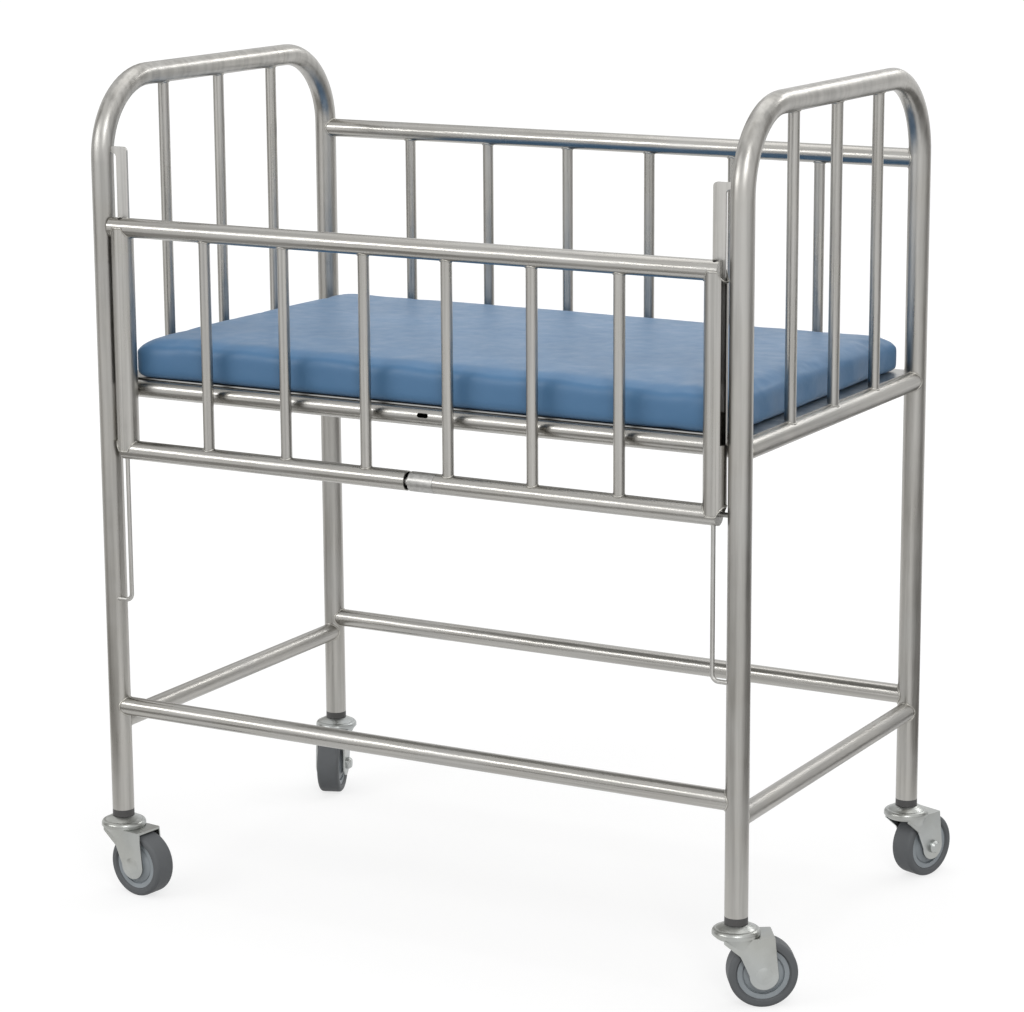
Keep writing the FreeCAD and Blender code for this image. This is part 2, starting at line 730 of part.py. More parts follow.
def drop_side(solids):
    """Top rail, split bottom rail, slotted end tubes and six bars."""
    foot = ("-long_end_x", "side_y", "side_top_height")
    outer = cylinder("side_top_outer", "rail_diameter", "long_end_x + side_end_x", foot, "x")
    foot = ("-long_end_x + rail_wall", "side_y", "side_top_height")
    bore = cylinder("side_top_bore", "rail_bore", "long_end_x + side_end_x - 2 * rail_wall", foot, "x")
    passages = [tool for side, s in SIDES.items() for tool in guide_passage(side, s, f"top_{side}")]
    piece("side_top_rail", cut("side_top_cut", outer, bore, *passages))

    foot = ("-side_end_x", "side_y", "side_bottom_height")
    length = "left_rail_end + side_end_x"
    outer = cylinder("side_left_outer", "rail_diameter", length, foot, "x")
    foot = ("-side_end_x + rail_wall", "side_y", "side_bottom_height")
    bore = cylinder("side_left_bore", "rail_bore", length, foot, "x")
    hole = rod_hole(-1, "bottom_left", "side_bottom_height")
    piece("side_bottom_rail_left", cut("side_left_cut", outer, bore, hole))

    hole = rod_hole(1, "bottom_right", "side_bottom_height")
    rail(
        "side_bottom_rail_right",
        "side_end_x - right_rail_start",
        ("right_rail_start", "side_y", "side_bottom_height"),
        "x",
        hole,
    )
    rails = [solids["side_top"], solids["side_bottom"]]
    for side, s in SIDES.items():
        foot = (f"{s} * side_tube_x", "side_y", "side_bottom_height")
        slot_start = (*foot[:2], "side_bottom_height + slot_foot")
        slot = cylinder(f"{side}_slot", "2 * side_tube_diameter", "side_height", slot_start)
        slot.setExpression("Angle", formula("slot_angle"))
        middle = -value("slot_turn") if s > 0 else HALF_TURN + value("slot_turn")
        turn = FreeCAD.Rotation(FreeCAD.Vector(0, 0, 1), middle - value("slot_angle") / 2)
        slot.Placement = FreeCAD.Placement(slot.Placement.Base, turn)
        side_tube = tube(
            "side_tube_" + side,
            "side_tube_diameter",
            "side_tube_diameter - 2 * side_tube_wall",
            "side_height",
            foot,
            "z",
            *rails,
            slot,
        )
        piece("side_tube_" + side, side_tube)
    upright_bars(
        "side_bars",
        int(value("side_bar_count")),
        lambda k: (f"{k} * side_bar_pitch", "side_y"),
        "side_bottom_height",
        "side_top_height",
        *rails,
    )


def latch():
    """Sleeve between the halves of the bottom rail, the rod sprung out of it, and what they slide on."""
    plug = "rail_bore - 2 * seat_clearance"
    z = "side_bottom_height"
    rod_hole_size = "latch_rod_diameter + 2 * guide_clearance"
    pin = cylinder("core_pin", "core_diameter", "core_end - core_start", ("core_start", "core_y", z), "x")
    left = cylinder("core_left", plug, "core_plug_length", ("core_start", "side_y", z), "x")
    foot = ("core_end - core_plug_length", "side_y", z)
    right = cylinder("core_right", plug, "core_plug_length", foot, "x")
    foot = ("core_end - 1.5 * core_plug_length", "latch_y", z)
    passage = cylinder("core_passage", rod_hole_size, "2 * core_plug_length", foot, "x")
    piece("side_rail_core", cut("core_drilled", fuse("core_blank", [pin, left, right]), passage))

    foot = ("side_end_x - latch_bush_length", "side_y", z)
    bush = cylinder("bush_blank", plug, "latch_bush_length", foot, "x")
    running = "latch_rod_diameter + 2 * running_clearance"
    foot = ("side_end_x - 2 * latch_bush_length", "latch_y", z)
    bore = cylinder("bush_bore", running, "3 * latch_bush_length", foot, "x")
    piece("side_latch_bush", cut("bush_bored", bush, bore, rod_hole(1, "bush", z)))

    sleeve = cylinder("sleeve_blank", "rail_diameter", "sleeve_length", ("sleeve_start", "side_y", z), "x")
    running = "core_diameter + 2 * running_clearance"
    core_bore = cylinder("sleeve_bore", running, "sleeve_length", ("sleeve_start", "core_y", z), "x")
    foot = ("latch_chamber_end - latch_chamber_length", "latch_y", z)
    chamber_bore = "latch_collar_diameter + 2 * running_clearance"
    chamber = cylinder("sleeve_chamber", chamber_bore, "latch_chamber_length", foot, "x")
    running = "latch_rod_diameter + 2 * running_clearance"
    rod_bore = cylinder("sleeve_rod_bore", running, "latch_wall", ("latch_chamber_end", "latch_y", z), "x")
    piece("latch_sleeve", cut("sleeve_bored", sleeve, core_bore, chamber, rod_bore))

    foot = ("latch_collar_end - latch_collar_length", "latch_y", z)
    collar = cylinder("latch_rod_collar", "latch_collar_diameter", "latch_collar_length", foot, "x")
    foot = ("latch_collar_end", "latch_y", z)
    shaft = cylinder("latch_rod_bar", "latch_rod_diameter", "latch_tip - latch_collar_end", foot, "x")
    piece("latch_rod", fuse("latch_rod_blank", [collar, shaft]))


def mattress():
    """Foam block with rounded corners and softened edges."""
    blank = box(
        "foam",
        ("mattress_right - mattress_left", "mattress_back - mattress_front", "mattress_thickness"),
        ("mattress_left", "mattress_front", "mattress_foot"),
    )
    corners = fillet_edges("foam_corners", blank, "mattress_corner", lambda edge: runs_along(edge, (0, 0, 1)))
    low, high = value("mattress_foot"), value("mattress_foot + mattress_thickness")

    def rim(edge):
        height = edge.CenterOfMass.z
        return abs(height - low) < NEAR or abs(height - high) < NEAR

    piece("mattress", fillet_edges("foam_edges", corners, "mattress_edge", rim))


# ---- castors


def castor_point(corner, along="0"):
    """A point behind a castor's swivel axis by along, as expressions."""
    sx, sy = CORNERS[corner]
    angle = f"swivel_{corner}"
    return f"{sx} * post_x + ({along}) * cos({angle})", f"{sy} * post_y + ({along}) * sin({angle})"


def set_castor_piece(label, thing, corner, along, height, reverse=False):
    """Turns a castor piece to its trail direction, or end for end, and puts it on its axis."""
    angle = value("swivel_" + corner) + HALF_TURN * reverse
    turn = FreeCAD.Rotation(FreeCAD.Vector(0, 0, 1), angle)
    thing.Placement = FreeCAD.Placement(FreeCAD.Vector(), turn)
    place(thing, (*castor_point(corner, along), height))
    piece(f"{label}_{corner}", thing)


def collars_and_stems():
    """Plastic inserts in the posts' lower ends and the king pins that they hold."""
    collars = []
    stems = []
    for corner in CORNERS:
        hole = "stem_diameter / 2 + seat_clearance"
        plug = "post_diameter / 2 - post_wall - seat_clearance"
        collar = turned(
            f"collar_{corner}",
            "XZ_Plane",
            [
                (hole, "collar_foot"),
                ("post_diameter / 2", "collar_foot"),
                ("post_diameter / 2", "post_foot"),
                (plug, "post_foot"),
                (plug, "post_foot + collar_plug_length"),
                (hole, "post_foot + collar_plug_length"),
            ],
        )
        stem = turned(
            f"stem_{corner}",
            "XZ_Plane",
            [
                ("0", "stem_head_top - stem_head_height"),
                ("stem_head_diameter / 2", "stem_head_top - stem_head_height"),
                ("stem_head_diameter / 2", "stem_head_top"),
                ("stem_diameter / 2", "stem_head_top"),
                ("stem_diameter / 2", "post_foot + stem_reach"),
                ("0", "post_foot + stem_reach"),
            ],
        )
        for thing, kept in ((collar, collars), (stem, stems)):
            place(thing, (*castor_point(corner), "0"))
            kept.append(thing)
    piece("castor_collars", group("collar_set", collars))
    piece("castor_stems", group("stem_set", stems))


def swivel_cap(corner):
    """Pressed cap that covers the swivel bearing."""
    bore = "stem_diameter / 2 + running_clearance"
    cap = turned(
        f"cap_{corner}",
        "XZ_Plane",
        [
            (bore, "0"),
            ("cap_diameter / 2 - cap_seam", "0"),
            ("cap_diameter / 2 - cap_seam", "cap_seam"),
            ("cap_diameter / 2", "cap_seam"),
            ("cap_diameter / 2", "cap_rim_height"),
            ("cap_diameter / 2 - cap_round", "cap_rim_height + cap_round"),
            ("cap_crown_diameter / 2", "cap_height"),
            (bore, "cap_height"),
        ],
        {4: "cap_round", 5: "cap_dome_radius"},
    )
    set_castor_piece("castor_cap", cap, corner, "0", "fork_top")


def fork(corner):
    """Pressed fork: plate and two rounded legs, with the round neck drawn down into them."""
    owner = body(f"fork_{corner}")
    legs = sketch_on(owner, f"fork_legs_{corner}", "XZ_Plane")
    half_boss = "fork_boss_diameter / 2"
    outline(
        legs,
        [
            ("-fork_front", "fork_top - fork_brow_height"),
            ("fork_shin_back", "fork_top - fork_shin_drop"),
            (f"trail - {half_boss}", "wheel_radius"),
            ("trail", f"wheel_radius - {half_boss}"),
            (f"trail + {half_boss}", "wheel_radius"),
            ("fork_back", "fork_top"),
            ("-fork_front", "fork_top"),
        ],
        {2: half_boss, 3: half_boss},
    )
    pad(owner, f"fork_pad_{corner}", legs, "fork_width", midplane=True)
    sections = []
    for name, size, drop, back in (
        ("top", "cap_diameter - 2 * neck_step", "0", "0"),
        ("waist", "fork_width + 2 * neck_waist_step", "neck_waist_drop", "neck_waist_back"),
        ("foot", "fork_gap + fork_plate", "neck_foot_drop", "neck_foot_back"),
    ):
        section = sketch_on(owner, f"fork_neck_{name}_{corner}", "XY_Plane", f"fork_top - {drop}")
        ring(section, size, back)
        sections.append(section)
    loft = owner.newObject("PartDesign::AdditiveLoft", f"fork_neck_loft_{corner}")
    loft.Profile = sections[0]
    loft.Sections = sections[1:]
    channel = sketch_on(owner, f"fork_channel_{corner}", "YZ_Plane")
    half_gap = "fork_gap / 2"
    outline(
        channel,
        [
            (f"-{half_gap}", "0"),
            (half_gap, "0"),
            (half_gap, "fork_under"),
            (f"-{half_gap}", "fork_under"),
        ],
    )
    pocket_through(owner, f"fork_channel_cut_{corner}", channel)
    bore = sketch_on(owner, f"fork_bore_{corner}", "XY_Plane", "fork_top")
    ring(bore, "stem_diameter + 2 * running_clearance")
    pocket_through(owner, f"fork_bore_cut_{corner}", bore)
    axle_hole = sketch_on(owner, f"fork_axle_{corner}", "XZ_Plane")
    ring(axle_hole, "axle_diameter + 2 * seat_clearance", "trail", "wheel_radius")
    drilled = pocket_through(owner, f"fork_axle_cut_{corner}", axle_hole)
    doc.recompute()
    rims = []
    for i, edge in enumerate(drilled.Shape.Edges, start=1):
        on_face = all(abs(abs(vertex.Y) - value("fork_width / 2")) < NEAR for vertex in edge.Vertexes)
        below_neck = edge.CenterOfMass.z < value("fork_top - fork_shin_drop")
        if on_face and below_neck and len(edge.Vertexes) == 2:
            rims.append(f"Edge{i}")
    rounded = owner.newObject("PartDesign::Fillet", f"fork_rounded_{corner}")
    rounded.Base = (drilled, rims)
    rounded.setExpression("Radius", formula("fork_edge"))
    set_castor_piece("castor_fork", owner, corner, "0", "0")


def axle(corner):
    """Shaft with a round head on one side and a low domed cap on the other."""
    shaft = "axle_diameter / 2"
    head = "axle_head_diameter / 2"
    cap = "axle_cap_diameter / 2"
    reach = "(fork_width / 2 + seat_clearance)"
    dome = f"(({cap}) ^ 2 + axle_cap_height ^ 2) / (2 * axle_cap_height)"
    corners = [
        ("0", f"-{reach} - axle_cap_height"),
        (cap, f"-{reach}"),
        (shaft, f"-{reach}"),
        (shaft, reach),
        (head, reach),
        (head, f"{reach} + axle_head_height / 2"),
        (f"{head} - axle_head_height / 3", f"{reach} + axle_head_height"),
        ("0", f"{reach} + axle_head_height"),
    ]
    thing = turned(f"axle_{corner}", "XY_Plane", corners, {0: dome})
    set_castor_piece("castor_axle", thing, corner, "trail", "wheel_radius", corner == "back_right")


def hub(corner):
    """Plastic wheel centre: bearing boss, dished disc, groove and outer ring."""
    bore = "axle_diameter / 2 + running_clearance"
    half = [
        (bore, "hub_width / 2"),
        ("hub_diameter / 2", "hub_width / 2"),
        ("dish_diameter / 2", "dish_width / 2"),
        ("dish_diameter / 2", "rim_width / 2 - groove_depth"),
        ("groove_outside / 2", "rim_width / 2 - groove_depth"),
        ("groove_outside / 2", "rim_width / 2"),
        ("rim_diameter / 2", "rim_width / 2"),
    ]
    other_half = [(across, f"-({up})") for across, up in half]
    thing = turned(f"hub_{corner}", "XY_Plane", other_half + half[::-1])
    set_castor_piece("castor_hub", thing, corner, "trail", "wheel_radius")


def tyre(corner):
    """Rubber tread with rounded shoulders."""
    seat = "rim_diameter / 2 + seat_clearance"
    bead = "rim_diameter / 2 + tyre_bevel"
    thing = turned(
        f"tyre_{corner}",
        "XY_Plane",
        [
            (seat, "-tyre_side_width / 2"),
            (bead, "-tyre_width / 2"),
            ("wheel_radius - tyre_shoulder", "-tyre_width / 2"),
            ("wheel_radius", "-tyre_width / 2 + tyre_shoulder"),
            ("wheel_radius", "tyre_width / 2 - tyre_shoulder"),
            ("wheel_radius - tyre_shoulder", "tyre_width / 2"),
            (bead, "tyre_width / 2"),
            (seat, "tyre_side_width / 2"),
        ],
        {2: "tyre_shoulder", 4: "tyre_shoulder"},
    )
    set_castor_piece("castor_tyre", thing, corner, "trail", "wheel_radius")


def export():
    """Checks every object and every finished piece, then writes one STEP file per piece."""
    doc.recompute()
    failed = [item.Name for item in doc.Objects if "Invalid" in item.State or "Error" in item.State]
    if failed:
        raise RuntimeError("failed objects: " + ", ".join(failed))
    for item in pieces:
        if item.Shape.isNull() or not item.Shape.isValid() or not item.Shape.Solids:
            raise RuntimeError(item.Label + " has no valid solid")
    os.makedirs("parts", exist_ok=True)
    for item in pieces:
        item.Shape.exportStep(f"parts/{item.Label}.step")


fill_sheet()
cutters = frame_cutters()
hoops()
frame_rails(cutters)
frame_bars(cutters)
deck(cutters)
guides()
drop_side(cutters)
latch()
mattress()
collars_and_stems()
for corner_name in CORNERS:
    swivel_cap(corner_name)
    fork(corner_name)
    axle(corner_name)
    hub(corner_name)
    tyre(corner_name)
export()
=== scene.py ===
"""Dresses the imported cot: stainless tube with welds, zinc castors, a vinyl mattress, plain studio light."""

import math

import bmesh
import bpy
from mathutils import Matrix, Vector, noise


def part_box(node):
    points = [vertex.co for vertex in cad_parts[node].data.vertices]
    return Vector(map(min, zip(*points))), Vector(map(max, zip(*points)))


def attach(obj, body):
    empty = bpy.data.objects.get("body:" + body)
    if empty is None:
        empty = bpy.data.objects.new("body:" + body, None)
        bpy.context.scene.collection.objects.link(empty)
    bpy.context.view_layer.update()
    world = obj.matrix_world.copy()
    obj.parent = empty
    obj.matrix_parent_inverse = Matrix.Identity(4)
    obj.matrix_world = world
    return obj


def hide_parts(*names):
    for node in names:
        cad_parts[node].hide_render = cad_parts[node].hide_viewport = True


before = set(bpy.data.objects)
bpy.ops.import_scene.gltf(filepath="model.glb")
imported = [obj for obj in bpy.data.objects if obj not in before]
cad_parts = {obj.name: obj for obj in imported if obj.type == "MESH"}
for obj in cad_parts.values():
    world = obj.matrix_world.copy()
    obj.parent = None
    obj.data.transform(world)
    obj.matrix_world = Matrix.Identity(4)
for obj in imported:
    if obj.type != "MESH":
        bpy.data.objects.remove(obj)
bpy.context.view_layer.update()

MM = 0.001

# sizes that the part's source also has, in metres
POST_X, POST_Y = 397 * MM, 234 * MM
POST_R, RAIL_R, BAR_R = 12.7 * MM, 11 * MM, 6.35 * MM
HOOP_Z, BACK_TOP_Z, DECK_Z = 950 * MM, 854 * MM, 599.5 * MM
STRETCHER_Z, END_STRETCHER_Z = 225 * MM, 206.5 * MM
SIDE_Y, SIDE_BOTTOM_Z, SIDE_TOP_Z = -238 * MM, 531.5 * MM, 786 * MM
SIDE_TUBE_X, SIDE_TUBE_R = 370 * MM, 12.7 * MM
END_BAR_PITCH, BACK_BAR_PITCH, SIDE_BAR_PITCH = 112 * MM, 109.6 * MM, 103.6 * MM
BAR_COUNT = 6

# the camera, and the side of the cot that it stands on, in degrees
CAMERA_PLACE = (1.79684, -3.21435, 1.26879)
CAMERA_DEGREES = (77.5637, 0.3317, 29.1729)
CAMERA_LENS = 114.93
CAMERA_TURN = -61

# light that the object gets, and the floor's own white near the cot and further off
WORLD_LIGHT = 0.61
FLOOR_NEAR, FLOOR_FAR = 0.73, 0.86
FLOOR_NEAR_R, FLOOR_FAR_R = 0.5, 3.5
FLOOR_GREY = 0.32
FLOOR_SIZE = 80

AIM = (0, 0, 0.5)
LAMPS = (  # name, place, width and height, watts
    ("key", (1.9, -2.6, 2.6), (1.0, 1.4), 34),
    ("streak", (-1.75, -2.4, 1.7), (1.8, 0.5), 16),
    ("back", (1.2, 2.6, 2.4), (1.6, 0.35), 12),
    ("top", (0, 0.4, 3.4), (2.6, 2.0), 21),
)
# Glowing cards that only the metal's reflections see: painted reflection. The upright cards and the ceiling
# card paint darker streaks into the metal; the flat floor cards paint the cot's shadow and a darker floor
# into its lower reflections.
CARDS = (  # name, turn from the camera's side, size, reach, height, shade, lying flat
    ("card", -100, (2.4, 5.0), 4.0, 1.2, 0.40, False),
    ("card", 100, (2.0, 5.0), 4.0, 1.2, 0.40, False),
    ("card", -160, (1.6, 5.0), 4.0, 1.2, 0.5, False),
    ("ceiling", 0, (3.2, 3.2), 0.1, 4.6, 0.45, False),
    ("floor_card_right", 80, (5.4, 2.4), 3.5, 0.002, 0.24, True),
    ("floor_card_left", -95, (5.4, 1.4), 3.7, 0.002, 0.78, True),
    ("floor_card_front", -60, (1.2, 2.6), 1.35, 0.003, 0.42, True),
)

WELD_R = 1.2 * MM
WELD_UNEVEN = 0.22
SIDE_WELD_GROUND = 0.92

# how far the mattress's cover reaches past its solid, low and high, before it swells
PAD_LOW = Vector((-9 * MM, -0.5 * MM, 0))
PAD_HIGH = Vector((3 * MM, 0.5 * MM, -0.5 * MM))
PAD_CORNER, PAD_RIM = 9 * MM, 7 * MM
PAD_VOXEL = 6 * MM
SWELL_LIMIT = 5 * MM
SWELL_PRESSURE = 4
SWELL_STEPS = 15


# ---- camera, world, floor and lamps


def make_camera():
    data = bpy.data.cameras.new("camera")
    data.sensor_width = 36
    data.lens = CAMERA_LENS
    data.clip_end = 50
    camera = bpy.data.objects.new("camera", data)
    camera.location = CAMERA_PLACE
    camera.rotation_euler = [math.radians(degrees) for degrees in CAMERA_DEGREES]
    bpy.context.collection.objects.link(camera)
    bpy.context.scene.camera = camera


def seen(tree):
    """1 for rays from the camera and off metal or through glass, 0 for the light on the object."""
    path = tree.nodes.new("ShaderNodeLightPath")
    total = path.outputs["Is Camera Ray"]
    for name in ("Is Glossy Ray", "Is Transmission Ray"):
        larger = tree.nodes.new("ShaderNodeMath")
        larger.operation = "MAXIMUM"
        tree.links.new(total, larger.inputs[0])
        tree.links.new(path.outputs[name], larger.inputs[1])
        total = larger.outputs[0]
    return total


def make_world():
    """White as a background and in reflections; a plain even light for the rest."""
    world = bpy.data.worlds.new("studio")
    bpy.context.scene.world = world
    world.use_nodes = True
    tree = world.node_tree
    tree.nodes.clear()
    shown = []
    for level in (WORLD_LIGHT, 1.0):
        background = tree.nodes.new("ShaderNodeBackground")
        background.inputs["Color"].default_value = (1, 1, 1, 1)
        background.inputs["Strength"].default_value = level
        shown.append(background.outputs[0])
    mix = tree.nodes.new("ShaderNodeMixShader")
    tree.links.new(seen(tree), mix.inputs[0])
    tree.links.new(shown[0], mix.inputs[1])
    tree.links.new(shown[1], mix.inputs[2])
    out = tree.nodes.new("ShaderNodeOutputWorld")
    tree.links.new(mix.outputs[0], out.inputs[0])


def make_floor():
    """White floor, a little less so near the cot, where the object's shadow shows on it."""
    bpy.ops.mesh.primitive_plane_add(size=FLOOR_SIZE, location=(0, 0, 0))
    floor = bpy.context.object
    floor.name = "floor"
    made = bpy.data.materials.new("floor")
    made.use_nodes = True
    tree = made.node_tree
    shader = tree.nodes["Principled BSDF"]
    shader.inputs["Base Color"].default_value = (FLOOR_GREY, FLOOR_GREY, FLOOR_GREY, 1)
    shader.inputs["Roughness"].default_value = 1
    shader.inputs["Specular IOR Level"].default_value = 0
    shader.inputs["Emission Color"].default_value = (1, 1, 1, 1)
    where = tree.nodes.new("ShaderNodeTexCoord")
    away = tree.nodes.new("ShaderNodeVectorMath")
    away.operation = "LENGTH"
    tree.links.new(where.outputs["Object"], away.inputs[0])
    level = tree.nodes.new("ShaderNodeMapRange")
    level.inputs["From Min"].default_value = FLOOR_NEAR_R
    level.inputs["From Max"].default_value = FLOOR_FAR_R
    level.inputs["To Min"].default_value = FLOOR_NEAR
    level.inputs["To Max"].default_value = FLOOR_FAR
    tree.links.new(away.outputs["Value"], level.inputs["Value"])
    glow = tree.nodes.new("ShaderNodeMath")
    glow.operation = "MULTIPLY"
    tree.links.new(seen(tree), glow.inputs[0])
    tree.links.new(level.outputs[0], glow.inputs[1])
    tree.links.new(glow.outputs[0], shader.inputs["Emission Strength"])
    floor.data.materials.append(made)


def make_card(name, turn, size, reach, height, shade, flat):
    """A glowing grey card round the set, turned from the camera's side, that only the metal's reflections
    show: painted reflection, darker streaks and patches in the metal.
    """
    angle = math.radians(CAMERA_TURN + turn)
    place = Vector((reach * math.cos(angle), reach * math.sin(angle), height))
    bpy.ops.mesh.primitive_plane_add(size=1, location=place)
    card = bpy.context.object
    card.name = name
    card.scale = (*size, 1)
    facing = (Vector((0, 0, 0.6)) - place).to_track_quat("Z", "Y").to_euler()
    card.rotation_euler = (0, 0, angle) if flat else facing
    made = bpy.data.materials.new(name)
    made.use_nodes = True
    shader = made.node_tree.nodes["Principled BSDF"]
    shader.inputs["Base Color"].default_value = (0, 0, 0, 1)
    shader.inputs["Specular IOR Level"].default_value = 0
    shader.inputs["Emission Color"].default_value = (1, 0.98, 0.95, 1)
    shader.inputs["Emission Strength"].default_value = shade
    card.data.materials.append(made)
    card.visible_camera = False
    card.visible_diffuse = False
    card.visible_shadow = False


def make_lamp(name, place, size, power):
    data = bpy.data.lights.new(name, "AREA")
    data.shape = "RECTANGLE"
    data.size, data.size_y = size
    data.energy = power
    lamp = bpy.data.objects.new(name, data)
    lamp.location = place
    lamp.rotation_euler = (Vector(AIM) - Vector(place)).to_track_quat("-Z", "Y").to_euler()
    bpy.context.collection.objects.link(lamp)


# ---- materials


def material(name):
    """An empty node material; returns it, its shader and a helper that adds linked nodes."""
    made = bpy.data.materials.new(name)
    made.use_nodes = True
    tree = made.node_tree
    shader = tree.nodes["Principled BSDF"]

    def add(kind, inputs=None, **settings):
        node = tree.nodes.new(kind)
        for key, given in settings.items():
            setattr(node, key, given)
        for key, given in (inputs or {}).items():
            if isinstance(given, bpy.types.NodeSocket):
                tree.links.new(given, node.inputs[key])
            else:
                node.inputs[key].default_value = given
        return node

    return made, shader, add, tree.links.new


def ramp(add, source, stops):
    node = add("ShaderNodeValToRGB", {"Fac": source})
    elements = node.color_ramp.elements
    while len(elements) < len(stops):
        elements.new(0.5)
    for element, (at, colour) in zip(elements, stops):
        element.position = at
        element.color = (*colour, 1)
    return node.outputs["Color"]


def spread(add, source, given, wanted):
    """Stretches the given range of a source over the wanted one."""
    ends = {"From Min": given[0], "From Max": given[1], "To Min": wanted[0], "To Max": wanted[1]}
    return add("ShaderNodeMapRange", {"Value": source, **ends}).outputs[0]


def steel(name, colour, rough, stretch, waviness=0.0009, grain=0.00006, streak=0.72):
    """Worked metal: grain drawn out by stretch, uneven polish, darker streaks and a faint waviness."""
    made, shader, add, link = material(name)
    where = add("ShaderNodeTexCoord").outputs["Object"]
    along = add("ShaderNodeMapping", {"Vector": where, "Scale": stretch}).outputs[0]
    drawn = {"Vector": along, "Scale": 1.0, "Detail": 6.0, "Roughness": 0.7}
    lines = add("ShaderNodeTexNoise", drawn).outputs[0]
    broad = add("ShaderNodeMapping", {"Vector": along, "Scale": (0.5, 0.5, 0.5)}).outputs[0]
    bands = add("ShaderNodeTexNoise", {"Vector": broad, "Scale": 1.0, "Detail": 2.0}).outputs[0]
    patches = add("ShaderNodeTexNoise", {"Vector": where, "Scale": 14.0, "Detail": 3.0}).outputs[0]
    waves = add("ShaderNodeTexNoise", {"Vector": where, "Scale": 22.0, "Detail": 1.5}).outputs[0]
    dark = tuple(c * 0.66 for c in colour)
    warm = (colour[0] * 0.92, colour[1] * 0.89, colour[2] * 0.83)
    both = add("ShaderNodeMath", {0: lines, 1: bands}, operation="ADD")
    half = add("ShaderNodeMath", {0: both.outputs[0], 1: 0.5}, operation="MULTIPLY").outputs[0]
    tone = add("ShaderNodeMix", {0: streak}, data_type="RGBA")
    link(ramp(add, patches, [(0.35, warm), (0.65, colour)]), tone.inputs[6])
    link(ramp(add, half, [(0.36, dark), (0.58, colour)]), tone.inputs[7])
    link(tone.outputs[2], shader.inputs["Base Color"])
    shader.inputs["Metallic"].default_value = 1.0
    polish = spread(add, patches, (0.3, 0.7), (rough - 0.05, rough + 0.07))
    scuff = spread(add, lines, (0.35, 0.75), (-0.04, 0.06))
    total = add("ShaderNodeMath", {0: polish, 1: scuff}, operation="ADD")
    link(total.outputs[0], shader.inputs["Roughness"])
    bump_waves = add("ShaderNodeBump", {"Height": waves, "Strength": 1.0, "Distance": waviness})
    fine = {"Height": lines, "Strength": 1.0, "Distance": grain, "Normal": bump_waves.outputs[0]}
    bump_lines = add("ShaderNodeBump", fine)
    link(bump_lines.outputs[0], shader.inputs["Normal"])
    return made


def plastic(name, colour, rough, scale=240.0, depth=0.00012):
    """Moulded plastic or rubber with a fine matt grain and uneven colour."""
    made, shader, add, link = material(name)
    where = add("ShaderNodeTexCoord").outputs["Object"]
    blotch = add("ShaderNodeTexNoise", {"Vector": where, "Scale": 30.0, "Detail": 4.0}).outputs[0]
    fine = add("ShaderNodeTexNoise", {"Vector": where, "Scale": scale, "Detail": 5.0}).outputs[0]
    dark = tuple(c * 0.82 for c in colour)
    link(ramp(add, blotch, [(0.3, dark), (0.7, colour)]), shader.inputs["Base Color"])
    level = add("ShaderNodeMapRange", {"Value": blotch, "To Min": rough - 0.08, "To Max": rough + 0.1})
    link(level.outputs[0], shader.inputs["Roughness"])
    bump = add("ShaderNodeBump", {"Height": fine, "Strength": 0.6, "Distance": depth})
    link(bump.outputs[0], shader.inputs["Normal"])
    return made


def vinyl(name):
    """Blue wipe-clean cover: fine leather-like grain, slight clouding, a soft shine."""
    made, shader, add, link = material(name)
    where = add("ShaderNodeTexCoord").outputs["Object"]
    soft_cloud = {"Vector": where, "Scale": 7.0, "Detail": 5.0, "Roughness": 0.6}
    cloud = add("ShaderNodeTexNoise", soft_cloud).outputs[0]
    edges = add("ShaderNodeTexVoronoi", {"Vector": where, "Scale": 620.0}, feature="DISTANCE_TO_EDGE")
    cells = edges.outputs[0]
    rub = add("ShaderNodeTexNoise", {"Vector": where, "Scale": 60.0, "Detail": 6.0}).outputs[0]
    blues = [(0.3, (0.072, 0.180, 0.335)), (0.7, (0.090, 0.212, 0.385))]
    link(ramp(add, cloud, blues), shader.inputs["Base Color"])
    link(spread(add, rub, (0.3, 0.7), (0.38, 0.50)), shader.inputs["Roughness"])
    shader.inputs["Specular IOR Level"].default_value = 0.45
    shader.inputs["Sheen Weight"].default_value = 0.15
    shader.inputs["Sheen Roughness"].default_value = 0.4
    grain = add("ShaderNodeBump", {"Height": cells, "Strength": 0.25, "Distance": 0.0002})
    wide = {"Height": cloud, "Strength": 0.5, "Distance": 0.004, "Normal": grain.outputs[0]}
    soft = add("ShaderNodeBump", wide)
    link(soft.outputs[0], shader.inputs["Normal"])
    return made


